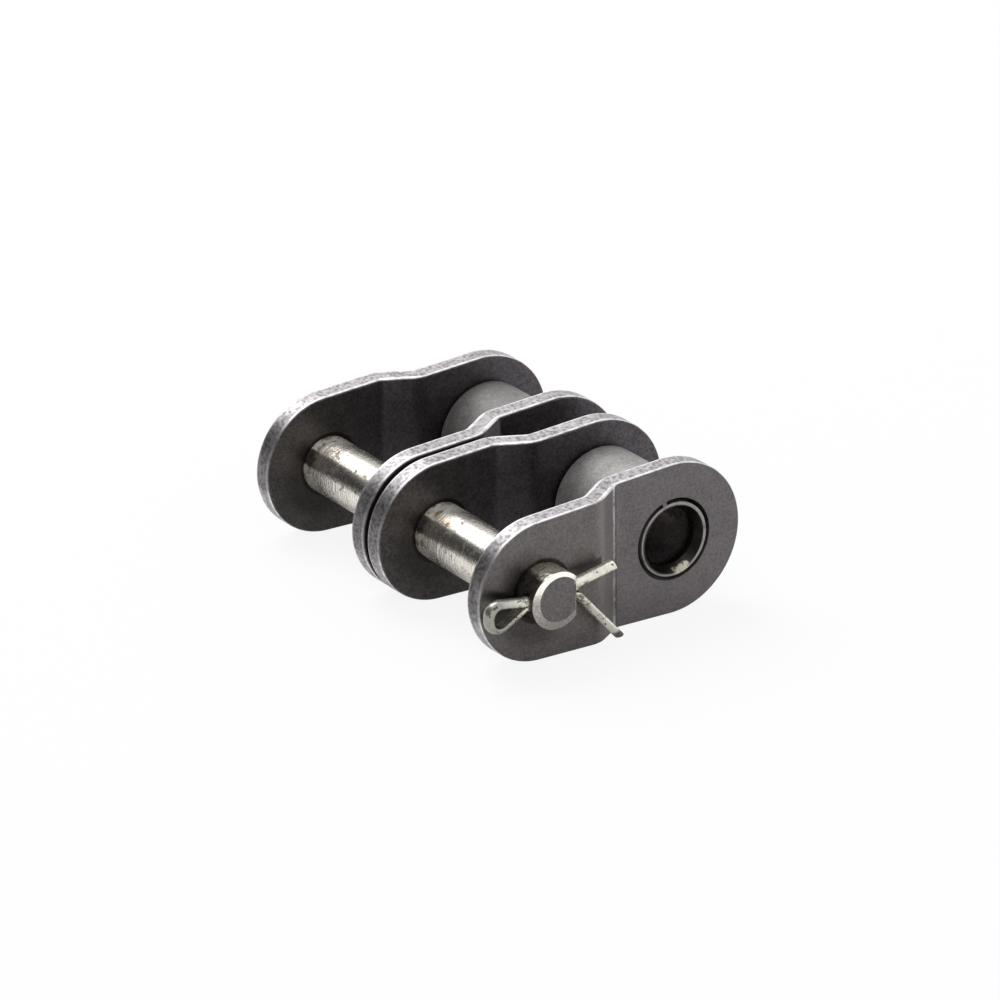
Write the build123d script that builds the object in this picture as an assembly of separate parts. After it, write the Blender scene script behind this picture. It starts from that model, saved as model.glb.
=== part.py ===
from build123d import *
from math import asin, degrees, radians, tan
import os

# Offset link of two-strand roller chain, closed by a flat-sided pin and a split cotter.
# Millimetres and degrees. +X runs from the pin to the bushes, +Y along the pin to the far strand,
# +Z up. The origin is the middle of the near bush's bore. The link stands on the straight lower
# edges of its plates.

# Chain
pitch = 25.4  # pin axis to bush axis
inner_width = 15.75  # between the two plates of a strand, at the bush
strand_gap = 0.94  # between the two middle plates, at the pin

# Side plates
plate_thickness = 3.1
pin_end_radius = 10.7
bush_end_radius = 11.7
plate_side_clearance = 0.1  # between two links' plates, where one laps the other
crank_distance = 12.45  # pin axis to the middle of the step
crank_angle = 32
crank_radius = 1.8  # inside of both bends
plate_edge_radius = 0.35

# Connecting pin
pin_diameter = 8.7
pin_clearance = 0.06  # on the radius, in every plate
pin_end_length = 4.5  # beyond the near outer plate
pin_bevel_width = 0.95
pin_bevel_depth = 0.55
pin_bevel_rise = 0.42  # the bevel was ground off centre, wider below
pin_flat_depth = 1.15
pin_flat_bevel_width = 0.65  # the same bevel, where it crosses the flat
pin_flat_beyond = 1.5  # flat past the near outer plate, inside the strand
pin_head_overhang = 1.05
pin_head_height = 1.4
pin_head_edge = 0.4
pin_end_float = 0.15  # between the head and the far outer plate

# Bushes, pressed into the plates; the next link's pin turns in them
bush_clearance = 0.08  # on the radius, round the pin
bush_wall = 1.32
bush_proud = 0.12  # how far a bush stands out of its plates
bush_lead_in = 0.75  # bevel at each mouth of the bore
bush_lead_in_depth = 1.3
bush_rim_radius = 0.18
bush_hole_bevel = 0.6  # steep bevel round the plate's hole, on its outer face
bush_hole_bevel_depth = 1.2
stake_width = 0.7  # one nib of plate left across the bevel, where the plate was staked
stake_angle = 105  # from +X towards +Z

# Rollers, loose on the bushes
roller_diameter = 15.88
roller_bore_clearance = 0.08  # on the radius
roller_side_clearance = 0.25  # at each end
roller_edge_radius = 0.5

# Split cotter
cotter_width = 2.4
cotter_leg_thickness = 1.1
cotter_split = 0.08  # between the two legs in the pin
cotter_hole_clearance = 0.1  # on the radius
cotter_distance = 2.25  # near outer plate to the cotter's axis
cotter_bend_radius = 1.6
cotter_eye_gap = 0.5  # pin to the start of the eye
cotter_eye_length = 6.5
cotter_eye_rise = 1.05
cotter_eye_drop = 2.9
cotter_eye_radius = 1.2
cotter_short_leg = 6.2
cotter_short_leg_angle = 9  # bent up
cotter_short_leg_exit = 0.3  # pin's flat to the short leg's step
cotter_short_leg_step = 0.7  # lift of the short leg just past the pin
cotter_short_leg_step_run = 1.1
cotter_step_radius = 1.0
cotter_tip_radius = 0.3
cotter_long_leg = 11.5
cotter_long_leg_angle = 49  # bent down
cotter_long_leg_exit = 1.2  # pin's flat to the long leg's bend

# Worked out from the sizes above
rest_angle = degrees(asin((bush_end_radius - pin_end_radius) / pitch))
crank_offset = plate_thickness + plate_side_clearance
bush_end_outer = inner_width / 2 + plate_thickness
pin_end_outer = bush_end_outer + crank_offset
strand_pitch = 2 * pin_end_outer + strand_gap
pin_hole_radius = pin_diameter / 2 + pin_clearance
pin_flat_distance = pin_diameter / 2 - pin_flat_depth
bush_bore = pin_diameter + 2 * bush_clearance
bush_diameter = bush_bore + 2 * bush_wall
link_height = 2 * max(pin_end_radius, bush_end_radius)
near_end = -pin_end_outer - pin_end_length
far_face = strand_pitch + pin_end_outer


def along_y(radius, low, high, x=0.0):
    """Round bar from y = low to y = high, its axis at x."""
    bar = Cylinder(radius, high - low, align=(Align.CENTER, Align.CENTER, Align.MIN))
    return Pos(x, low, 0) * Rot(X=-90) * bar


def crank_strip(side):
    """The plate's bent strip, seen from above and drawn up to the link's height."""
    y_bush = side * (bush_end_outer - plate_thickness / 2)
    y_pin = side * (pin_end_outer - plate_thickness / 2)
    half_run = crank_offset / tan(radians(crank_angle)) / 2
    middle = crank_distance - pitch
    path = FilletPolyline(
        (-pitch - 2 * pin_end_radius, y_pin),
        (middle - half_run, y_pin),
        (middle + half_run, y_bush),
        (2 * bush_end_radius, y_bush),
        radius=crank_radius + plate_thickness / 2,
    )
    strip = make_face(path.offset_2d(plate_thickness / 2, side=Side.BOTH, closed=True))
    return extrude(strip, link_height, both=True)


def plate_outline():
    """Two round ends joined by straight edges that touch both."""
    pin_end = Pos(-pitch, 0) * Circle(pin_end_radius)
    outline = make_hull([pin_end.edge(), Circle(bush_end_radius).edge()])
    return extrude(Plane.XZ * outline, 2 * pin_end_outer, both=True)


def round_rims(plate):
    """Small rounds where the blanked rim meets the two faces."""
    rims = plate.edges().filter_by(Axis.Z, reverse=True).filter_by(Axis.Y, reverse=True)
    return fillet(rims, plate_edge_radius)


def flat_cutter(low, high, clearance):
    """Everything past the pin's flat, from y = low to y = high."""
    block = Box(pin_diameter, high - low, 2 * pin_diameter, align=(Align.MIN, Align.MIN, Align.CENTER))
    return Pos(pin_flat_distance + clearance - pitch, low, 0) * block


def pin_hole():
    return along_y(pin_hole_radius, -2 * pin_end_outer, 2 * pin_end_outer, -pitch)


def flat_sided_pin_hole():
    return pin_hole() - flat_cutter(-2 * pin_end_outer, 2 * pin_end_outer, pin_clearance)


def bush_hole(side):
    """Hole for the bush, with a bevel on the plate's outer face that a stake mark crosses."""
    hole = along_y(bush_diameter / 2, -2 * pin_end_outer, 2 * pin_end_outer)
    bevel = Cone(
        bush_diameter / 2,
        bush_diameter / 2 + bush_hole_bevel,
        bush_hole_bevel_depth,
        align=(Align.CENTER, Align.CENTER, Align.MAX),
    )
    nib = Box(link_height, 2 * plate_thickness, stake_width, align=(Align.MIN, Align.CENTER, Align.CENTER))
    bevel = Pos(0, side * bush_end_outer, 0) * Rot(X=-90 * side) * bevel
    return hole + (bevel - Pos(0, side * bush_end_outer, 0) * Rot(Y=-stake_angle) * nib)


def plate(side, hole):
    """One cranked plate, on the -Y (side -1) or +Y (side 1) side of its strand."""
    blank = round_rims(crank_strip(side) & plate_outline())
    return blank - hole - bush_hole(side)


def bush():
    """Hardened tube, bevelled inside both mouths."""
    half = bush_end_outer + bush_proud
    bar = along_y(bush_diameter / 2, -half, half)
    bar = fillet(bar.edges().filter_by(GeomType.CIRCLE), bush_rim_radius)
    tube = bar - along_y(bush_bore / 2, -half, half)
    for side in (-1, 1):
        mouth = Cone(
            bush_bore / 2,
            bush_bore / 2 + bush_lead_in,
            bush_lead_in_depth,
            align=(Align.CENTER, Align.CENTER, Align.MAX),
        )
        tube -= Pos(0, side * half, 0) * Rot(X=-90 * side) * mouth
    return tube


def roller():
    half = inner_width / 2 - roller_side_clearance
    bar = along_y(roller_diameter / 2, -half, half)
    bar = fillet(bar.edges().filter_by(GeomType.CIRCLE), roller_edge_radius)
    return bar - along_y(bush_diameter / 2 + roller_bore_clearance, -half, half)


def flat_sided_outline(radius, flat_distance, y, rise):
    """Round outline with one flat side, square to the pin."""
    outline = Circle(radius) & Pos(flat_distance - radius, 0) * Rectangle(2 * radius, 2 * radius)
    return Plane(origin=(-pitch, y, rise), x_dir=(1, 0, 0), z_dir=(0, -1, 0)) * outline


def bevelled_pin_end():
    """The pin's last bit, tapered from its flat-sided section to a smaller end face."""
    end_face = flat_sided_outline(
        pin_diameter / 2 - pin_bevel_width,
        pin_flat_distance - pin_flat_bevel_width,
        near_end,
        pin_bevel_rise,
    )
    section = flat_sided_outline(pin_diameter / 2, pin_flat_distance, near_end + pin_bevel_depth, 0)
    return loft([end_face, section], ruled=True)


def connecting_pin():
    """Pin with a headed far end, and a bevelled near end with its flat and cotter hole."""
    head_face = far_face + pin_end_float
    shank = along_y(pin_diameter / 2, near_end + pin_bevel_depth, head_face, -pitch)
    flat_end = -pin_end_outer + plate_thickness + pin_flat_beyond
    shank -= flat_cutter(near_end, flat_end, 0)
    shank += bevelled_pin_end()
    head = along_y(pin_diameter / 2 + pin_head_overhang, head_face, head_face + pin_head_height, -pitch)
    head = fillet(head.edges().filter_by(GeomType.CIRCLE).sort_by(Axis.Y)[-1], pin_head_edge)
    hole = Cylinder(cotter_width / 2 + cotter_hole_clearance, 2 * pin_diameter)
    return shank + head - Pos(-pitch, -pin_end_outer - cotter_distance, 0) * Rot(Y=90) * hole


def half_round():
    """Section of the split wire: flat along X, round side towards +Y."""
    flat_ends = ((-cotter_width / 2, 0), (cotter_width / 2, 0))
    round_side = ThreePointArc(flat_ends[0], (0, cotter_leg_thickness), flat_ends[1])
    return make_face([round_side, Line(flat_ends)])


def cotter_path():
    """Line of the wire's flat side, from the short leg's tip round the eye to the long leg's tip."""
    half_split = cotter_split / 2
    eye_root = -pin_diameter / 2 - cotter_eye_gap
    eye_end = eye_root - cotter_eye_length + cotter_leg_thickness
    step_root = Vector(pin_flat_distance + cotter_short_leg_exit, half_split)
    short_root = step_root + Vector(cotter_short_leg_step_run, cotter_short_leg_step)
    long_root = Vector(pin_flat_distance + cotter_long_leg_exit, -half_split)
    return FilletPolyline(
        short_root + Vector(cotter_short_leg, 0).rotate(Axis.Z, cotter_short_leg_angle),
        short_root,
        step_root,
        (eye_root, half_split),
        (eye_end, cotter_eye_rise),
        (eye_end, -cotter_eye_drop),
        (eye_root, -half_split),
        long_root,
        long_root + Vector(cotter_long_leg, 0).rotate(Axis.Z, -cotter_long_leg_angle),
        radius=[
            cotter_step_radius,
            cotter_bend_radius,
            cotter_bend_radius,
            cotter_eye_radius,
            cotter_eye_radius,
            cotter_bend_radius,
            cotter_bend_radius,
        ],
    )


def cotter():
    """Half-round wire with its flat side inward, bent into an eye and two legs."""
    path = Plane.XZ * cotter_path()
    start = Plane(origin=path @ 0, x_dir=(0, -1, 0), z_dir=path % 0)
    wire = sweep(start * half_round(), path)
    tips = wire.faces().filter_by(GeomType.PLANE).sort_by(SortBy.AREA)[:2]
    wire = fillet(tips[0].edges() + tips[1].edges(), cotter_tip_radius)
    return Pos(-pitch, -pin_end_outer - cotter_distance, 0) * wire


far = Pos(0, strand_pitch, 0)
link = {
    "near_outer_plate": plate(-1, flat_sided_pin_hole()),
    "near_inner_plate": plate(1, pin_hole()),
    "far_inner_plate": far * plate(-1, pin_hole()),
    "far_outer_plate": far * plate(1, pin_hole()),
    "near_bush": bush(),
    "far_bush": far * bush(),
    "near_roller": roller(),
    "far_roller": far * roller(),
    "connecting_pin": connecting_pin(),
    "cotter_pin": cotter(),
}

os.makedirs("parts", exist_ok=True)
for name, piece in link.items():
    export_step(Rot(Y=-rest_angle) * piece, f"parts/{name}.step")
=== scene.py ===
from math import pi, radians

import bmesh
import bpy
from bpy.props import FloatProperty, FloatVectorProperty, PointerProperty
from mathutils import Matrix, Vector


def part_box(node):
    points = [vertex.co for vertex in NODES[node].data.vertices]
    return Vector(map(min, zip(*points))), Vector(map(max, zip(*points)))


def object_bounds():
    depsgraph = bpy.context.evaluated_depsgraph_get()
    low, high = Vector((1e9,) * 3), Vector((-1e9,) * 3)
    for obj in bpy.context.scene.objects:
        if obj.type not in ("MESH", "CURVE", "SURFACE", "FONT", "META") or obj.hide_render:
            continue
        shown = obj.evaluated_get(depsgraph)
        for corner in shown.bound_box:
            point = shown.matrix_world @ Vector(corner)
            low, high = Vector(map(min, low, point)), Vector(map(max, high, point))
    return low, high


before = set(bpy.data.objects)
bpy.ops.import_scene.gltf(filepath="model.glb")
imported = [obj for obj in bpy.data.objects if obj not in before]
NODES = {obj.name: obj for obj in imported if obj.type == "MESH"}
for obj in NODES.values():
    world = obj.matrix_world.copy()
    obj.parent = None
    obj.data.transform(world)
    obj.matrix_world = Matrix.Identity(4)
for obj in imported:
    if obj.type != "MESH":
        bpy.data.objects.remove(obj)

bl_info = {
    "name": "Offset chain link",
    "version": (1, 0, 0),
    "blender": (4, 5, 0),
    "location": "3D View > Sidebar > Chain Link",
    "description": "Finishes and studio for an offset link of two-strand roller chain",
    "category": "Object",
}

MM = 0.001
PLATES = ("near_outer_plate", "near_inner_plate", "far_inner_plate", "far_outer_plate")
BUSHES = ("near_bush", "far_bush")
ROLLERS = ("near_roller", "far_roller")


def middle(name):
    """Middle of a piece's box."""
    low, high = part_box(name)
    return (low + high) / 2


CAD_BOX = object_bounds()
PLATE_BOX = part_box("near_outer_plate")
PIN_AXIS = middle("connecting_pin")
BUSH_AXIS = middle("near_bush")
STRAND_SPLIT = (middle("near_bush").y + middle("far_bush").y) / 2
ALONG = Vector((BUSH_AXIS.x - PIN_AXIS.x, 0, BUSH_AXIS.z - PIN_AXIS.z)).normalized()
PIN_RADIUS = 4.35 * MM

# Squareness to the pin at which each kind of surface starts and is reached
RIM = (0.4, 0.15)
ROUND_SIDE = (0.6, 0.3)
BEVEL = (0.3, 0.6)

# Stage
FLOOR_RADIUS = 4.0
FLOOR_SIDES = 64
FLAG_STEPS = 24
SENSOR_WIDTH = 36.0
CLIP_START = 0.05
CLIP_END = 20.0


def beside(axis, x, z):
    """Point beside an axis, given in millimetres."""
    return axis + Vector((x, 0, z)) * MM


# Shader building


class Signal:
    """A number socket that can be used in plain arithmetic."""

    def __init__(self, finish, socket):
        self.finish = finish
        self.socket = socket

    def _math(self, operation, first, second):
        node = self.finish.node("ShaderNodeMath", {"operation": operation}, {0: first, 1: second})
        return Signal(self.finish, node.outputs[0])

    def __add__(self, other):
        return self._math("ADD", self, other)

    def __radd__(self, other):
        return self._math("ADD", other, self)

    def __sub__(self, other):
        return self._math("SUBTRACT", self, other)

    def __rsub__(self, other):
        return self._math("SUBTRACT", other, self)

    def __mul__(self, other):
        return self._math("MULTIPLY", self, other)

    def __truediv__(self, other):
        return self._math("DIVIDE", self, other)

    def __or__(self, other):
        """The larger of the two."""
        return self._math("MAXIMUM", self, other)

    def __abs__(self):
        return self._math("ABSOLUTE", self, 0.0)


class Finish:
    """The shader nodes of a material or of the surround."""

    def __init__(self, owner):
        owner.use_nodes = True
        self.owner = owner
        self.tree = owner.node_tree
        self.tree.nodes.clear()
        self.place = self.node("ShaderNodeTexCoord").outputs

    def node(self, kind, settings=None, sockets=None):
        """One node of a kind: its settings first, then values or links for its sockets."""
        node = self.tree.nodes.new(kind)
        for name, value in (settings or {}).items():
            setattr(node, name, value)
        for name, value in (sockets or {}).items():
            if isinstance(value, Signal):
                value = value.socket
            if isinstance(value, bpy.types.NodeSocket):
                self.tree.links.new(value, node.inputs[name])
            else:
                node.inputs[name].default_value = value
        return node

    def signal(self, kind, settings=None, sockets=None, output=0):
        return Signal(self, self.node(kind, settings, sockets).outputs[output])

    def vector_node(self, operation, *inputs):
        settings = {"operation": operation}
        return self.node("ShaderNodeVectorMath", settings, dict(enumerate(inputs)))

    def vector(self, operation, *inputs):
        """Vector sum, product or the like."""
        return self.vector_node(operation, *inputs).outputs[0]

    def measure(self, operation, *inputs):
        """Length, dot product or the like."""
        return Signal(self, self.vector_node(operation, *inputs).outputs["Value"])

    def parts_of(self, vector):
        """The x, y and z of a vector."""
        split = self.node("ShaderNodeSeparateXYZ", sockets={0: vector})
        return [Signal(self, output) for output in split.outputs]

    def from_axis(self, axis):
        """Distance from a line through a point and along Y."""
        offset = self.vector("SUBTRACT", self.place["Object"], axis)
        flat = self.vector("MULTIPLY", offset, (1, 0, 1))
        return self.measure("LENGTH", flat)

    def beyond(self, point, direction):
        """Distance past a point, measured in one direction."""
        offset = self.vector("SUBTRACT", self.place["Object"], point)
        return self.measure("DOT_PRODUCT", offset, direction)

    def along_link(self):
        """Distance past the bushes' axis, along the link and away from the pin."""
        return self.beyond(BUSH_AXIS, ALONG)

    def across(self):
        """Distance along the pin."""
        return self.parts_of(self.place["Object"])[1]

    def from_split(self):
        """Distance from the gap between the two strands, along the pin."""
        return abs(self.across() - STRAND_SPLIT)

    def from_strand(self):
        """Distance from the middle of the nearer strand, along the pin."""
        return abs(self.from_split() - STRAND_SPLIT)

    def squareness(self):
        """1 on a face square to the pin and 0 on a side along it."""
        return abs(self.parts_of(self.place["Normal"])[1])

    def noise(self, size, detail=3.0, roughness=0.5, stretch=(1, 1, 1)):
        """Cloudy pattern from 0 to 1, with spots about size across."""
        sockets = {
            "Vector": self.vector("MULTIPLY", self.place["Object"], stretch),
            "Scale": 1 / size,
            "Detail": detail,
            "Roughness": roughness,
        }
        return self.signal("ShaderNodeTexNoise", {"noise_dimensions": "3D"}, sockets)

    def ramp(self, value, start, end, to_start=0.0, to_end=1.0, shape="SMOOTHSTEP"):
        """Change from one number to another while a value goes from start to end."""
        settings = {"interpolation_type": shape, "clamp": True}
        sockets = {
            "Value": value,
            "From Min": start,
            "From Max": end,
            "To Min": to_start,
            "To Max": to_end,
        }
        return self.signal("ShaderNodeMapRange", settings, sockets)

    def band(self, value, centre, width):
        """1 in the middle third of a band of values, and 0 outside the band."""
        return self.ramp(abs(value - centre), width / 2, width / 6)

    def smear(self, middle, direction, length, width):
        """1 along a line that lies square to the pin, and 0 beside and beyond it."""
        along = self.beyond(middle, direction)
        across = self.beyond(middle, (-direction[2], 0, direction[0]))
        return self.band(along, 0, length) * self.band(across, 0, width)

    def mix(self, share, first, second):
        """Colour between first and second."""
        settings = {"data_type": "RGBA", "clamp_factor": True}
        sockets = {0: share, 6: self.colour(first), 7: self.colour(second)}
        return self.node("ShaderNodeMix", settings, sockets).outputs[2]

    def shade(self, colour, strength):
        """Colour made lighter or darker by a number."""
        sockets = {0: colour, "Scale": strength}
        return self.node("ShaderNodeVectorMath", {"operation": "SCALE"}, sockets).outputs[0]

    def colour(self, value):
        """A colour as a Mix node takes it."""
        if isinstance(value, bpy.types.NodeSocket):
            return value
        return (*value[:3], 1.0)

    def bump(self, height, depth):
        """Surface normal from a height pattern whose full range is depth."""
        return self.node("ShaderNodeBump", sockets={"Height": height, "Distance": depth}).outputs[0]

    def metal(self, colour, roughness, metallic, normal):
        """Ends the material in one metal surface."""
        sockets = {
            "Base Color": colour,
            "Roughness": roughness,
            "Metallic": metallic,
            "Normal": normal,
        }
        self.end(self.node("ShaderNodeBsdfPrincipled", sockets=sockets))

    def rays(self):
        """1 for a ray from the camera, for a mirrored one and for one let through."""
        seen = self.node("ShaderNodeLightPath").outputs
        names = ("Is Camera Ray", "Is Glossy Ray", "Is Transmission Ray")
        return [Signal(self, seen[name]) for name in names]

    def end(self, surface):
        """Joins a shader to the material's output."""
        self.node("ShaderNodeOutputMaterial", sockets={"Surface": surface.outputs[0]})


def new_finish(name):
    return Finish(bpy.data.materials.new(name))


def dress(names, finish):
    """Gives a material to every slot of the named pieces."""
    for name in names:
        for slot in NODES[name].material_slots:
            slot.material = finish.owner


# Settings


def colour_setting(name, description, default):
    return FloatVectorProperty(
        name=name,
        description=description,
        subtype="COLOR",
        size=3,
        min=0.0,
        max=1.0,
        default=default,
    )


def share_setting(name, description, default):
    return FloatProperty(
        name=name,
        description=description,
        subtype="FACTOR",
        min=0.0,
        max=1.0,
        default=default,
    )


def angle_setting(name, description, default):
    return FloatProperty(
        name=name,
        description=description,
        subtype="ANGLE",
        unit="ROTATION",
        default=radians(default),
    )


def length_setting(name, description, default):
    return FloatProperty(
        name=name,
        description=description,
        subtype="DISTANCE",
        unit="LENGTH",
        default=default,
    )


def place_setting(name, description, default):
    return FloatVectorProperty(
        name=name,
        description=description,
        subtype="TRANSLATION",
        unit="LENGTH",
        default=default,
    )


class PlateSettings(bpy.types.PropertyGroup):
    thickness: length_setting("Thickness", "Thickness of the plates", 3.1 * MM)
    crank_start: length_setting("Crank start", "Bushes' axis to the bend by the pin", -15.5 * MM)
    crank_end: length_setting("Crank end", "Bushes' axis to the bend by the bushes", -10.4 * MM)
    # Widths of a painted highlight along the crank's bend by the bushes and of the painted shade in
    # the crease beside it
    bend_highlight: length_setting("Bend highlight", "Width of the light line at that bend", 1.0 * MM)
    bend_shade: length_setting("Bend shade", "Width of the dark line beside it", 0.7 * MM)
    grain: length_setting("Grain", "Size of the fine spots", 0.42 * MM)
    cloud: length_setting("Cloud", "Size of the soft patches", 2.5 * MM)
    bump: length_setting("Bump", "Depth of the grain", 0.014 * MM)
    face: colour_setting("Face", "Oiled steel of the plates' faces", (0.105, 0.096, 0.094))
    tint: colour_setting("Heat tint", "Tint that the hardening left", (0.1, 0.09, 0.098))
    # Painted light on the two outermost faces, more on the crank's slope and low at the bush end
    outer_painted_light: share_setting("Painted light", "How much lighter the two outermost faces are", 0.48)
    outer_painted_light_slope: share_setting("Wiped slope", "How much more the crank's slope is", 0.45)
    outer_painted_light_low: share_setting("Wiped low", "How much more the low bush end is", 0.3)
    rim: colour_setting("Rim", "Blanked steel of the rims", (0.47, 0.45, 0.46))
    pit: colour_setting("Rim pits", "Dark spots in the blanked rims", (0.2, 0.185, 0.195))
    # Also the colour of the painted highlights on the edges and at the crank's bend
    edge: colour_setting("Edge", "Bright steel where the edges were tumbled", (0.82, 0.81, 0.82))
    # Painted shade on the rims and on the bright edges past the pin
    rim_shade_past_pin: share_setting("Rim shade", "How much darker the rims are past the pin", 0.55)
    edge_shade_past_pin: share_setting("Edge shade", "How much darker the edges are past the pin", 0.65)
    # Colour of the painted shade round the pin, in the cotter's shadow, in the bush hole's bevel
    # and in the crank's crease
    painted_shade: colour_setting("Painted shade", "Old oil in the corners", (0.03, 0.026, 0.024))


class RollerSettings(bpy.types.PropertyGroup):
    steel: colour_setting("Steel", "Blasted grey of the rollers", (0.33, 0.32, 0.31))
    grain: length_setting("Grain", "Size of the fine spots", 0.4 * MM)
    cloud: length_setting("Cloud", "Size of the soft patches", 1.8 * MM)
    bump: length_setting("Bump", "Depth of the grain", 0.02 * MM)
    far_darker: share_setting("Far roller darker", "How much darker the far roller is", 0.3)


class BushSettings(bpy.types.PropertyGroup):
    steel: colour_setting("Steel", "Grey of the bushes' ends", (0.3, 0.285, 0.275))
    # Dark of the mouths: old oil and painted shade
    oil: colour_setting("Oil", "Old oil in the bushes' mouths", (0.035, 0.03, 0.027))
    bore: colour_setting("Bore", "Thin oil farther inside the bushes", (0.3, 0.27, 0.27))
    # Colour of a painted highlight low in the bushes' mouths
    painted_glint: colour_setting("Painted glint", "Patch that a pin has rubbed bright", (0.6, 0.56, 0.46))
    grain: length_setting("Grain", "Size of the fine spots", 0.22 * MM)
    cloud: length_setting("Cloud", "Size of the soft patches", 1.4 * MM)
    bump: length_setting("Bump", "Depth of the grain", 0.01 * MM)


class PinSettings(bpy.types.PropertyGroup):
    steel: colour_setting("Steel", "Ground steel of the pin", (0.93, 0.89, 0.82))
    stain: colour_setting("Stain", "Brown stain on the pin", (0.2, 0.13, 0.075))
    bloom: colour_setting("Bloom", "Dull grey green between the stains", (0.33, 0.33, 0.26))
    brown: colour_setting("Brown", "Brown tint along the upper side", (0.75, 0.52, 0.3))
    # Colour of the painted shade under the stub and of the painted dark reflection along the pin
    oil: colour_setting("Oil", "Old oil under the stub and along the pin", (0.045, 0.038, 0.033))
    end: colour_setting("End", "Grey of the pin's cropped end", (0.15, 0.138, 0.138))
    grain: length_setting("Grain", "Size of the fine spots", 0.35 * MM)
    groove: length_setting("Groove", "Width of the grinding marks round the pin", 0.16 * MM)
    groove_depth: length_setting("Groove depth", "Depth of the grinding marks", 0.07 * MM)


class CotterSettings(bpy.types.PropertyGroup):
    wire: colour_setting("Wire", "Bright drawn wire", (0.92, 0.9, 0.8))
    flat: colour_setting("Flat side", "Old oil on the wire's flat side", (0.06, 0.05, 0.043))
    # Colour of the painted shade under the wire and near the pin
    painted_wire_shade: colour_setting("Painted wire shade", "Thin brown oil under the wire", (0.3, 0.26, 0.2))
    speck: colour_setting("Specks", "Dark specks on the wire", (0.07, 0.062, 0.05))
    grain: length_setting("Grain", "Size of the fine spots", 0.4 * MM)
    cloud: length_setting("Cloud", "Size of the soft patches", 1.2 * MM)
    bump: length_setting("Bump", "Depth of the grain", 0.02 * MM)


class StudioSettings(bpy.types.PropertyGroup):
    floor: colour_setting("Floor", "Pale floor", (0.92, 0.92, 0.92))
    floor_shadow: share_setting("Floor shadow", "How strongly the floor shows the shadow", 0.12)
    floor_reflection: share_setting(
        "Floor shadow in metal", "How strongly the metal shows the shadow on the floor", 0.8
    )
    key_power: FloatProperty(
        name="Key light", description="Power of the light overhead", unit="POWER", default=10.0
    )
    key_size: length_setting("Key size", "Side of the square light overhead", 0.9)
    key_offset: place_setting("Key offset", "Link to the light overhead", (-0.1, 0.7, 1.05))
    surround: FloatProperty(
        name="Surround", description="Strength of the light from all round", default=0.6
    )
    flag_felt: colour_setting("Flag felt", "Black felt of the dark card", (0.03, 0.03, 0.03))
    flag_distance: length_setting("Flag distance", "Link to the dark card beside it", 0.5)
    flag_height: length_setting("Flag height", "Height of the dark card's first end", 0.51)
    flag_rise: length_setting("Flag rise", "How much higher the card's other end is", 0.25)
    flag_start: angle_setting("Flag start", "Turn from +Y to the start of the dark card", 25)
    flag_sweep: angle_setting("Flag sweep", "How far the dark card goes round the link", 90)
    lens: FloatProperty(
        name="Lens",
        description="Focal length of the camera",
        subtype="DISTANCE_CAMERA",
        default=231.431,
    )
    azimuth: angle_setting("Azimuth", "Camera's turn round the link", -35.3612)
    elevation: angle_setting("Elevation", "Camera's height above the horizon", 23.0437)
    roll: angle_setting("Roll", "Camera's tilt to the side", 1.3887)
    distance: length_setting("Distance", "Camera to the point it looks at", 934.048 * MM)
    aim: place_setting(
        "Aim", "Point that the camera looks at", (-12.6546 * MM, 14.4343 * MM, -0.2559 * MM)
    )


class LinkSettings(bpy.types.PropertyGroup):
    plates: PointerProperty(type=PlateSettings, name="Plates")
    rollers: PointerProperty(type=RollerSettings, name="Rollers")
    bushes: PointerProperty(type=BushSettings, name="Bushes")
    pin: PointerProperty(type=PinSettings, name="Pin")
    cotter: PointerProperty(type=CotterSettings, name="Cotter")
    studio: PointerProperty(type=StudioSettings, name="Studio")


# Finishes


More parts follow.
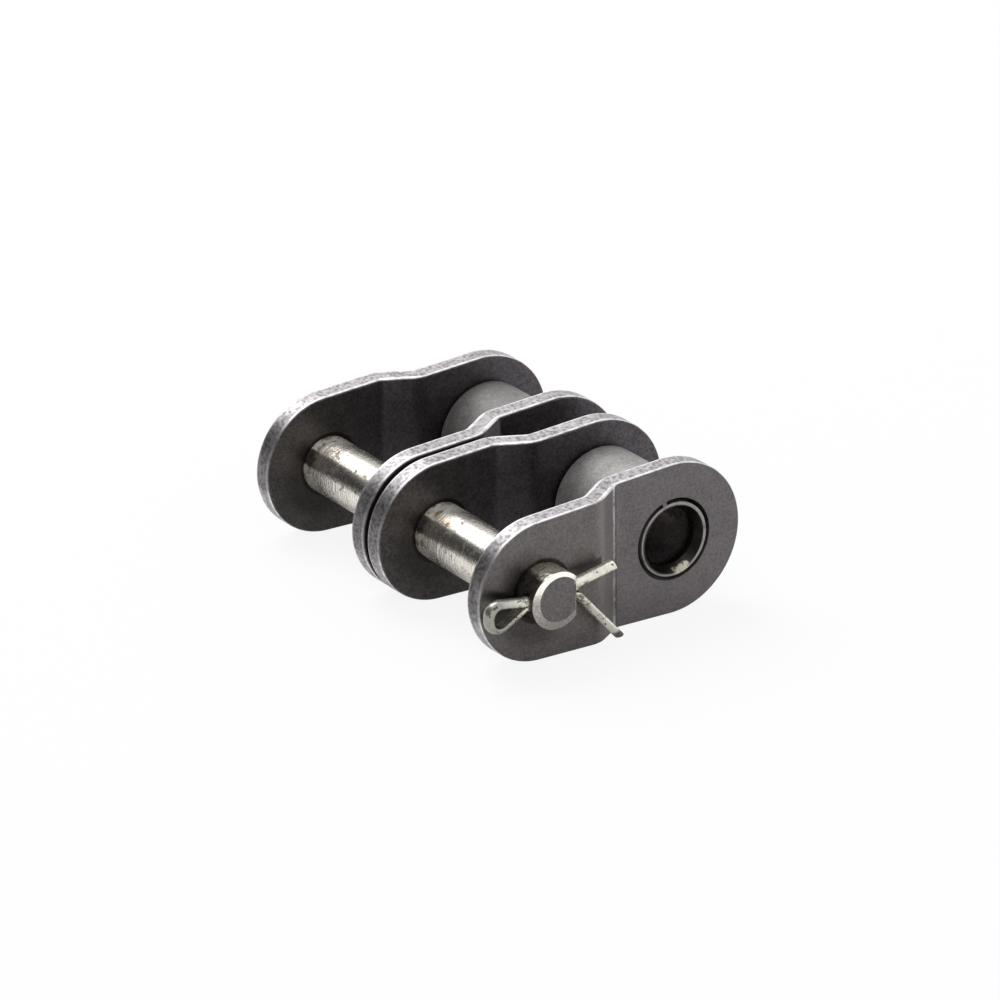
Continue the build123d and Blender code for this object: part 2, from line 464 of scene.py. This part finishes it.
class LINK_OT_plates(bpy.types.Operator):
    """Gives the four cranked plates oiled faces, blanked rims, bright tumbled edges, painted
    highlights and painted light and shade
    """

    bl_idname = "link.plates"
    bl_label = "Plates"

    def execute(self, context):
        settings = context.scene.chain_link.plates
        steel = new_finish("plate_steel")
        square = steel.squareness()
        rim = steel.ramp(square, *RIM)
        depth = self.plate_depth(settings, steel)
        grain = steel.noise(settings.grain, detail=3.0, roughness=0.65)
        cloud = steel.noise(settings.cloud, detail=4.0, roughness=0.55)
        # Painted shade on the rims and edges past the pin
        past_pin = steel.beyond(PIN_AXIS, (-0.966, 0, 0.259))
        dull = steel.ramp(past_pin, 8.6 * MM, 10.2 * MM)
        face = self.face_colour(settings, steel, depth, grain, cloud)
        colour = steel.mix(rim, face, self.rim_colour(settings, steel, dull))
        # Tumbled edges with a painted highlight
        bright = self.edge_wear_and_highlight(steel, rim, square, abs(depth))
        colour = steel.mix(bright * (1 - dull * settings.edge_shade_past_pin), colour, settings.edge)
        # Painted shade round the pin, behind the cotter and in the bevel round the bush
        colour = steel.mix(self.painted_shade(steel, square, rim), colour, settings.painted_shade)
        roughness = 0.3 + grain * 0.1 + cloud * 0.08 + rim * 0.06
        normal = steel.bump(grain * 0.7 + cloud * 0.5, settings.bump)
        steel.metal(colour, roughness, 0.9, normal)
        dress(PLATES, steel)
        return {"FINISHED"}

    def plate_depth(self, settings, steel):
        """-1 on a plate's face towards the middle of its strand, and 1 on its other face."""
        half = settings.thickness / 2
        starts = (settings.crank_start, settings.crank_end)
        middles = (-PLATE_BOX[0].y - half, -PLATE_BOX[1].y + half)
        halfway = steel.ramp(steel.along_link(), *starts, *middles, "LINEAR")
        return (steel.from_strand() - halfway) / half

    def face_colour(self, settings, steel, depth, grain, cloud):
        """Satin grey with faint streaks, painted light on the outermost faces, and a painted
        highlight and painted shade along the crank's bend.
        """
        along = steel.along_link()
        outer_half = steel.ramp(steel.from_split(), 15 * MM, 20 * MM)
        outermost = steel.ramp(depth, 0.5, 0.9) * outer_half
        streaks = steel.noise(0.5 * MM, detail=3.0, roughness=0.6, stretch=(0.1, 1, 1))
        spots = steel.ramp(grain, 0.3, 0.7)
        # Painted light on the outermost faces
        outer_painted_light = outermost * self.outer_light_share(settings, steel, along)
        tone = 0.18 + spots * 0.6 + cloud * 0.6 + streaks * 0.3 + outer_painted_light
        tinted = self.tinting(settings, steel, along, outermost)
        face = steel.shade(steel.mix(tinted, settings.face, settings.tint), tone)
        # Painted highlight along the crank's bend, and painted shade in the crease beside it
        line_centre = settings.crank_end - 0.55 * MM
        line = steel.band(along, line_centre, settings.bend_highlight) * outermost
        uneven = steel.ramp(grain + cloud, 0.8, 1.2, to_start=0.12, to_end=0.65)
        face = steel.mix(line * uneven, face, settings.edge)
        shadow = steel.band(along, settings.crank_end, settings.bend_shade) * outermost
        return steel.mix(shadow * 0.4, face, settings.painted_shade)

    def outer_light_share(self, settings, steel, along):
        """How much painted light an outermost face gets: all over, more on the crank's slope and
        low at the bush end.
        """
        slope_middle = (settings.crank_start + settings.crank_end) / 2
        slope = steel.band(along, slope_middle, 7.5 * MM)
        down = steel.ramp(steel.beyond(BUSH_AXIS, (-0.3, 0, -0.95)), 1 * MM, 9 * MM)
        low = down * steel.ramp(along, -11 * MM, -9 * MM)
        return slope * settings.outer_painted_light_slope + low * settings.outer_painted_light_low + settings.outer_painted_light

    def tinting(self, settings, steel, along, outermost):
        """Heat tint in patches at the bush end, and all over the inner faces there."""
        bush_end = steel.ramp(along, settings.crank_end - 1 * MM, settings.crank_end + 2 * MM)
        past_middle = steel.ramp(along, -22 * MM, -16 * MM)
        cloudy = steel.noise(7 * MM, detail=3.0, roughness=0.5)
        return bush_end * cloudy | past_middle * (1 - outermost)

    def rim_colour(self, settings, steel, dull):
        """Blanked steel with torn dark spots, and painted shade past the pin."""
        specks = steel.noise(0.5 * MM, detail=3.0, roughness=0.6, stretch=(1, 0.7, 1))
        spots = steel.ramp(specks, 0.34, 0.6)
        patch = steel.noise(2.2 * MM, detail=3.0, roughness=0.6)
        torn = steel.mix(spots, settings.pit, settings.rim)
        return steel.shade(torn, (0.5 + patch) * (1 - dull * settings.rim_shade_past_pin))

    def edge_wear_and_highlight(self, steel, rim, square, depth):
        """Rounded corners and the lines beside them: tumbled wear with a painted highlight, worn
        unevenly.
        """
        margin = steel.ramp(depth, 0.62, 0.76) * rim
        corner = steel.ramp(square, 0.1, 0.35) * steel.ramp(square, 0.8, 0.6)
        spotty = steel.noise(1.1 * MM, detail=3.0, roughness=0.6)
        worn = steel.ramp(spotty, 0.3, 0.6, to_start=0.45, to_end=1.0)
        return (corner | margin * 0.9) * worn

    def painted_shade(self, steel, square, rim):
        """Painted shade round the pin, where the cotter's shadow falls and in the bevel round the
        bush.
        """
        near_pin = steel.ramp(steel.from_axis(PIN_AXIS), 5.15 * MM, 4.85 * MM)
        pool = steel.ramp(steel.from_axis(beside(PIN_AXIS, -1.2, -1.6)), 8 * MM, 4.5 * MM)
        away = steel.beyond(BUSH_AXIS, (-0.93, 0, -0.37))
        strength = steel.ramp(away, 1 * MM, 5 * MM, to_start=0.95, to_end=0.6)
        bevel = steel.ramp(steel.from_axis(BUSH_AXIS), 6.42 * MM, 6.32 * MM)
        bevel = bevel * steel.ramp(square, 0.9, 0.7) * strength
        return (near_pin | pool * 0.6 | self.behind_cotter(steel)) * (1 - rim) | bevel

    def behind_cotter(self, steel):
        """Painted shadow along the cotter's eye and its short leg, and painted shade inside the
        eye.
        """
        eye = steel.smear(
            beside(PIN_AXIS, -6.1, 0.3), (0.948, 0, -0.325), length=10 * MM, width=2.4 * MM
        )
        leg = steel.smear(
            beside(PIN_AXIS, 8.7, 1.9), (0.997, 0, 0.07), length=11 * MM, width=2.6 * MM
        )
        in_eye = steel.from_axis(beside(PIN_AXIS, -6.4, -2.7))
        in_eye = steel.ramp(in_eye, 2.4 * MM, 1.4 * MM)
        near_face = PLATE_BOX[0].y
        on_face = steel.ramp(steel.across(), near_face + 0.4 * MM, near_face + 0.2 * MM)
        return (eye * 0.95 | leg * 0.9 | in_eye * 0.95) * on_face


class LINK_OT_rollers(bpy.types.Operator):
    """Gives the two rollers a blasted matt finish with rubbed edges, and painted light and shade
    along them
    """

    bl_idname = "link.rollers"
    bl_label = "Rollers"

    def execute(self, context):
        settings = context.scene.chain_link.rollers
        steel = new_finish("roller_steel")
        square = steel.squareness()
        grain = steel.noise(settings.grain, detail=3.0, roughness=0.65)
        cloud = steel.noise(settings.cloud, detail=4.0, roughness=0.6)
        spots = steel.ramp(grain, 0.3, 0.7)
        rubbed = steel.ramp(square, 0.1, 0.4) * steel.ramp(square, 0.95, 0.7)
        far = steel.ramp(steel.across(), STRAND_SPLIT - 1 * MM, STRAND_SPLIT + 1 * MM)
        from_middle = steel.across() - far * 2 * STRAND_SPLIT
        # Painted light and shade: each roller lighter towards -Y and darker towards +Y
        worn = steel.ramp(from_middle, 3 * MM, -5 * MM, to_start=0.85, to_end=1.2)
        tone = (0.4 + spots * 0.4 + cloud * 0.9 + rubbed * 0.3) * worn
        colour = steel.shade(settings.steel, tone * (1 - far * settings.far_darker))
        roughness = 0.5 + cloud * 0.2
        steel.metal(colour, roughness, 0.4, steel.bump(grain + cloud * 0.5, settings.bump))
        dress(ROLLERS, steel)
        return {"FINISHED"}


class LINK_OT_bushes(bpy.types.Operator):
    """Gives the two bushes rubbed ends, mouths darkened by old oil and painted shade, and a painted
    glint low in the mouths
    """

    bl_idname = "link.bushes"
    bl_label = "Bushes"

    def execute(self, context):
        settings = context.scene.chain_link.bushes
        steel = new_finish("bush_steel")
        grain = steel.noise(settings.grain, detail=3.0, roughness=0.6)
        cloud = steel.noise(settings.cloud, detail=3.0, roughness=0.5)
        end = steel.from_axis(beside(BUSH_AXIS, -0.15, 0))
        rubbed = steel.ramp(end, 5.24 * MM, 5.44 * MM)
        inside = steel.ramp(steel.from_strand(), 9 * MM, 7.5 * MM)
        # Mouths darkened by old oil and painted shade
        oil = steel.mix(inside, settings.oil, settings.bore)
        uneven = steel.ramp(cloud, 0.2, 0.5, to_start=0.6, to_end=1.0)
        colour = steel.mix(rubbed * uneven, oil, settings.steel)
        colour = steel.shade(colour, 0.5 + grain * 0.5 + cloud * 0.5)
        # Painted highlight low in the mouths
        colour = steel.mix(self.painted_glint_patch(steel), colour, settings.painted_glint)
        roughness = steel.ramp(rubbed, 0.0, 1.0, to_start=0.22, to_end=0.32) + cloud * 0.1
        steel.metal(colour, roughness, 0.85, steel.bump(grain + cloud, settings.bump))
        dress(BUSHES, steel)
        return {"FINISHED"}

    def painted_glint_patch(self, steel):
        """1 in ragged spots of painted highlight low down in the bushes' mouths."""
        patch = steel.ramp(steel.from_axis(beside(BUSH_AXIS, 1.6, -4.6)), 1.7 * MM, 1.2 * MM)
        mouth = steel.ramp(steel.from_strand(), 10.2 * MM, 10.5 * MM)
        broken = steel.noise(0.9 * MM, detail=2.0, roughness=0.5)
        return patch * mouth * steel.ramp(broken, 0.35, 0.55)


class LINK_OT_pin(bpy.types.Operator):
    """Gives the connecting pin ground sides, stains, a painted dark reflection along it, painted
    shade under the stub, painted light and shade on the end's bevel and a cropped grey end
    """

    bl_idname = "link.pin"
    bl_label = "Connecting pin"

    def execute(self, context):
        settings = context.scene.chain_link.pin
        steel = new_finish("pin_steel")
        square = steel.squareness()
        end = steel.ramp(square, 0.93, 0.98)
        on_side = steel.ramp(square, *ROUND_SIDE)
        grain = steel.noise(settings.grain, detail=3.0, roughness=0.7)
        grooves = steel.noise(settings.groove, detail=2.0, roughness=0.5, stretch=(0.03, 1, 0.03))
        stained = self.stained(steel) * on_side
        painted_dark_reflection = self.painted_dark_reflection(steel)
        shades = steel.ramp(steel.noise(0.8 * MM, detail=3.0, roughness=0.65), 0.42, 0.58)
        stain = steel.mix(shades, settings.stain, settings.bloom)
        side = steel.shade(settings.steel, 0.8 + grain * 0.4)
        side = steel.mix(self.browned(steel), side, settings.brown)
        side = steel.mix(stained, side, stain)
        # Painted shade under the stub and a painted dark reflection along the pin
        side = steel.mix((self.oiled(steel) | painted_dark_reflection) * on_side, side, settings.oil)
        # Painted light on top of the end's bevel and painted shade below
        side = steel.shade(side, self.bevel_painted_light(steel, square, grain))
        face = steel.shade(settings.end, 0.2 + grain * 1.6)
        roughness = 0.19 + stained * 0.25 + end * 0.25 + grain * 0.08
        upper = steel.ramp(steel.beyond(PIN_AXIS, (-0.1, 0, 0.99)), 1 * MM, 3 * MM)
        dulled = stained * 0.45 | self.by_plates(steel) * (0.35 + upper * 0.5)
        metallic = 0.97 - dulled * (1 - painted_dark_reflection)
        height = grooves * steel.ramp(square, 0.3, 0.1) + grain * 0.05
        normal = steel.bump(height, settings.groove_depth)
        steel.metal(steel.mix(end, side, face), roughness, metallic, normal)
        dress(("connecting_pin",), steel)
        return {"FINISHED"}

    def by_plates(self, steel):
        """1 against the outer plate inside each strand."""
        return steel.ramp(steel.from_strand(), 6 * MM, 11 * MM) * (1 - self.stub(steel))

    def stub(self, steel):
        """1 where the pin stands out of the near plate."""
        near_face = PLATE_BOX[0].y
        return steel.ramp(steel.across(), near_face + 0.3 * MM, near_face)

    def stained(self, steel):
        """Stain in patches, most of all on the stub and then beside the outer plates."""
        cloud = steel.noise(1.1 * MM, detail=4.0, roughness=0.65)
        likely = cloud + self.by_plates(steel) * 0.1 + self.stub(steel) * 0.14
        return steel.ramp(likely, 0.56, 0.66) * 0.9

    def oiled(self, steel):
        """Painted shade along the lower side of the stub."""
        below = steel.beyond(PIN_AXIS, (-0.94, 0, -0.34))
        uneven = steel.noise(1.2 * MM, detail=3.0, roughness=0.6) * 1.2 * MM
        return steel.ramp(below + uneven, 0.9 * MM, 2.0 * MM) * self.stub(steel) * 0.97

    def painted_dark_reflection(self, steel):
        """Painted dark reflection in a line along the pin between the plates, stronger beside them.
        """
        facing = steel.beyond(PIN_AXIS, (-0.866, 0, 0.5))
        uneven = (steel.noise(0.9 * MM, detail=3.0, roughness=0.6) - 0.5) * 0.25 * MM
        line = steel.ramp(facing + uneven, PIN_RADIUS - 0.25 * MM, PIN_RADIUS - 0.13 * MM)
        return line * (0.4 + self.by_plates(steel) * 0.4) * (1 - self.stub(steel))

    def browned(self, steel):
        """Brown tint in a broken line along the upper side of the pin."""
        line = steel.band(steel.beyond(PIN_AXIS, (0.84, 0, 0.54)), 0, 1.5 * MM)
        upper = steel.ramp(steel.beyond(PIN_AXIS, (-0.54, 0, 0.84)), 2 * MM, 3 * MM)
        patch = steel.ramp(steel.noise(2.2 * MM, detail=3.0, roughness=0.6), 0.45, 0.62)
        return line * upper * patch * 0.7

    def bevel_painted_light(self, steel, square, grain):
        """How bright the end's bevel is: painted light on top and painted shade below."""
        bevel = steel.ramp(square, *BEVEL)
        height = steel.beyond(PIN_AXIS, (-0.2, 0, 0.98))
        painted_top_light = steel.ramp(height, 1.0 * MM, 3.5 * MM, to_start=0.42, to_end=1.15)
        return 1 - bevel + bevel * (painted_top_light + grain * 0.6 - 0.3)


class LINK_OT_cotter(bpy.types.Operator):
    """Gives the split cotter bright round wire, a dull flat side, dark specks, and painted shade
    below, at the eye and at the tip
    """

    bl_idname = "link.cotter"
    bl_label = "Split cotter"

    def execute(self, context):
        settings = context.scene.chain_link.cotter
        steel = new_finish("cotter_wire")
        grain = steel.noise(settings.grain, detail=3.0, roughness=0.6)
        cloud = steel.noise(settings.cloud, detail=3.0, roughness=0.6)
        speck = steel.ramp(steel.noise(0.7 * MM, detail=2.0, roughness=0.6), 0.6, 0.66)
        flat = self.flat_side(steel)
        # Painted shade: the wire darker towards the eye and at the long leg's tip
        eye = steel.ramp(steel.beyond(PIN_AXIS, (-0.8, 0, -0.6)), 3.5 * MM, 7.2 * MM)
        tip = steel.ramp(steel.beyond(PIN_AXIS, (0.7, 0, -0.71)), 12.8 * MM, 13.5 * MM)
        tone = (0.6 + cloud * 0.7) * (1 - eye * 0.6) * (1 - tip * 0.85)
        # Painted shade on the wire's lower sides and near the pin
        painted_wire_shade = self.painted_wire_shade(steel, cloud)
        colour = steel.mix(painted_wire_shade, steel.shade(settings.wire, tone), settings.painted_wire_shade)
        colour = steel.mix(flat * 0.95, colour, settings.flat)
        colour = steel.mix(speck * 0.9, colour, settings.speck)
        roughness = 0.22 + speck * 0.3 + flat * 0.2 + cloud * 0.1
        steel.metal(colour, roughness, 0.75, steel.bump(grain + cloud * 2, settings.bump))
        dress(("cotter_pin",), steel)
        return {"FINISHED"}

    def painted_wire_shade(self, steel, cloud):
        """Painted shade on the lower sides of the wire, and near the pin on all but the upper ones,
        tinted like thin oil.
        """
        up = steel.parts_of(steel.place["Normal"])[2]
        lower = steel.ramp(up, 0.05, -0.7)
        by_pin = steel.ramp(steel.from_axis(PIN_AXIS), 8.5 * MM, 5.5 * MM)
        by_pin = by_pin * (1 - steel.ramp(up, 0.3, 0.7))
        return lower * 0.12 | by_pin * steel.ramp(cloud, 0.4, 0.55)

    def flat_side(self, steel):
        """1 on the wire's flat side, which faces into the eye and between the legs."""
        sideways = steel.parts_of(steel.place["Object"])[0]
        legs = steel.ramp(sideways, PIN_AXIS.x - 1 * MM, PIN_AXIS.x + 1 * MM)
        in_eye = beside(PIN_AXIS, -8.5, -0.8)
        between_legs = beside(PIN_AXIS, 12, 0)
        focus = steel.mix(legs, in_eye, between_legs)
        towards = steel.vector("SUBTRACT", focus, steel.place["Object"])
        towards = steel.vector("NORMALIZE", steel.vector("MULTIPLY", towards, (1, 0, 1)))
        facing = steel.measure("DOT_PRODUCT", towards, steel.place["Normal"])
        return steel.ramp(facing, 0.05, 0.2) * steel.ramp(steel.squareness(), 0.3, 0.1)


# Studio


class LINK_OT_studio(bpy.types.Operator):
    """Makes the floor, the light, the dark card, the surround and the camera"""

    bl_idname = "link.studio"
    bl_label = "Studio"

    def execute(self, context):
        settings = context.scene.chain_link.studio
        self.add_floor(settings)
        self.add_surround(context, settings)
        self.add_light(context, settings)
        self.add_flag(settings)
        self.add_camera(context, settings)
        context.scene.view_settings.view_transform = "Standard"
        return {"FINISHED"}

    def stage_piece(self, name, shape, finish):
        """Puts a shape into the scene as part of the stage."""
        mesh = bpy.data.meshes.new(name)
        shape.to_mesh(mesh)
        shape.free()
        mesh.materials.append(finish.owner)
        piece = bpy.data.objects.new(name, mesh)
        bpy.context.scene.collection.objects.link(piece)
        return piece

    def add_floor(self, settings):
        """Pale floor under the link, white to look at but for a faint shadow."""
        shape = bmesh.new()
        bmesh.ops.create_circle(
            shape, cap_ends=True, segments=FLOOR_SIDES, radius=FLOOR_RADIUS
        )
        bmesh.ops.translate(shape, verts=shape.verts, vec=(0, 0, CAD_BOX[0].z))
        paint = new_finish("floor_paint")
        camera, glossy, through = paint.rays()
        seen = (camera + through) * (1 - settings.floor_shadow)
        mirrored = glossy * (1 - settings.floor_reflection)
        matt = paint.node("ShaderNodeBsdfDiffuse", sockets={"Color": paint.colour(settings.floor)})
        white = paint.node("ShaderNodeEmission", sockets={"Strength": 1.0})
        sockets = {0: seen + mirrored, 1: matt.outputs[0], 2: white.outputs[0]}
        paint.end(paint.node("ShaderNodeMixShader", sockets=sockets))
        self.stage_piece("floor", shape, paint)

    def add_surround(self, context, settings):
        """White to look at and to mirror, and a plain soft light for the rest."""
        sky = Finish(bpy.data.worlds.new("surround"))
        camera, glossy, through = sky.rays()
        seen = camera | glossy | through
        strength = sky.ramp(seen, 0.0, 1.0, to_start=settings.surround, to_end=1.0)
        sockets = {"Color": (1, 1, 1, 1), "Strength": strength}
        glow = sky.node("ShaderNodeBackground", sockets=sockets)
        sky.node("ShaderNodeOutputWorld", sockets={"Surface": glow.outputs[0]})
        context.scene.world = sky.owner

    def add_light(self, context, settings):
        """Square light overhead and a little behind, turned to the link."""
        lamp = bpy.data.lights.new("key_light", "AREA")
        lamp.energy = settings.key_power
        lamp.size = settings.key_size
        offset = Vector(settings.key_offset)
        holder = bpy.data.objects.new("key_light", lamp)
        holder.location = (CAD_BOX[0] + CAD_BOX[1]) / 2 + offset
        holder.rotation_euler = (-offset).to_track_quat("-Z", "Y").to_euler()
        context.scene.collection.objects.link(holder)

    def add_flag(self, settings):
        """Curved dark card behind and beside the link, seen only in its mirror images."""
        shape = bmesh.new()
        foot = Vector((0, settings.flag_distance, CAD_BOX[0].z - settings.flag_rise))
        top = foot + Vector((0, 0, settings.flag_rise + settings.flag_height))
        edge = shape.edges.new([shape.verts.new(foot), shape.verts.new(top)])
        turn = Matrix.Rotation(settings.flag_start, 3, "Z")
        bmesh.ops.rotate(shape, verts=shape.verts, cent=(0, 0, 0), matrix=turn)
        bmesh.ops.spin(
            shape,
            geom=[*edge.verts, edge],
            cent=(0, 0, 0),
            axis=(0, 0, 1),
            angle=settings.flag_sweep,
            dvec=(0, 0, settings.flag_rise / FLAG_STEPS),
            steps=FLAG_STEPS,
            use_merge=False,
        )
        felt = new_finish("flag_felt")
        sockets = {"Color": felt.colour(settings.flag_felt)}
        felt.end(felt.node("ShaderNodeBsdfDiffuse", sockets=sockets))
        flag = self.stage_piece("flag", shape, felt)
        flag.visible_camera = False
        flag.visible_diffuse = False
        flag.visible_shadow = False

    def add_camera(self, context, settings):
        """Camera aimed at a point in the link."""
        lens = bpy.data.cameras.new("camera")
        lens.lens = settings.lens
        lens.sensor_width = SENSOR_WIDTH
        lens.clip_start = CLIP_START
        lens.clip_end = CLIP_END
        camera = bpy.data.objects.new("camera", lens)
        camera.matrix_world = (
            Matrix.Translation(settings.aim)
            @ Matrix.Rotation(settings.azimuth, 4, "Z")
            @ Matrix.Rotation(pi / 2 - settings.elevation, 4, "X")
            @ Matrix.Rotation(settings.roll, 4, "Z")
            @ Matrix.Translation((0, 0, settings.distance))
        )
        context.scene.collection.objects.link(camera)
        context.scene.camera = camera


# Panel and registration


class LINK_PT_panel(bpy.types.Panel):
    """Lists the finishes and the studio"""

    bl_label = "Chain Link"
    bl_idname = "LINK_PT_panel"
    bl_space_type = "VIEW_3D"
    bl_region_type = "UI"
    bl_category = "Chain Link"

    def draw(self, context):
        for operator in OPERATORS:
            self.layout.operator(operator.bl_idname)


OPERATORS = (
    LINK_OT_plates,
    LINK_OT_rollers,
    LINK_OT_bushes,
    LINK_OT_pin,
    LINK_OT_cotter,
    LINK_OT_studio,
)
GROUPS = (
    PlateSettings,
    RollerSettings,
    BushSettings,
    PinSettings,
    CotterSettings,
    StudioSettings,
    LinkSettings,
)
CLASSES = (*GROUPS, *OPERATORS, LINK_PT_panel)


def register():
    for cls in CLASSES:
        bpy.utils.register_class(cls)
    bpy.types.Scene.chain_link = PointerProperty(type=LinkSettings)


def unregister():
    del bpy.types.Scene.chain_link
    for cls in reversed(CLASSES):
        bpy.utils.unregister_class(cls)


def main():
    register()
    bpy.ops.link.plates()
    bpy.ops.link.rollers()
    bpy.ops.link.bushes()
    bpy.ops.link.pin()
    bpy.ops.link.cotter()
    bpy.ops.link.studio()


if __name__ == "__main__":
    main()
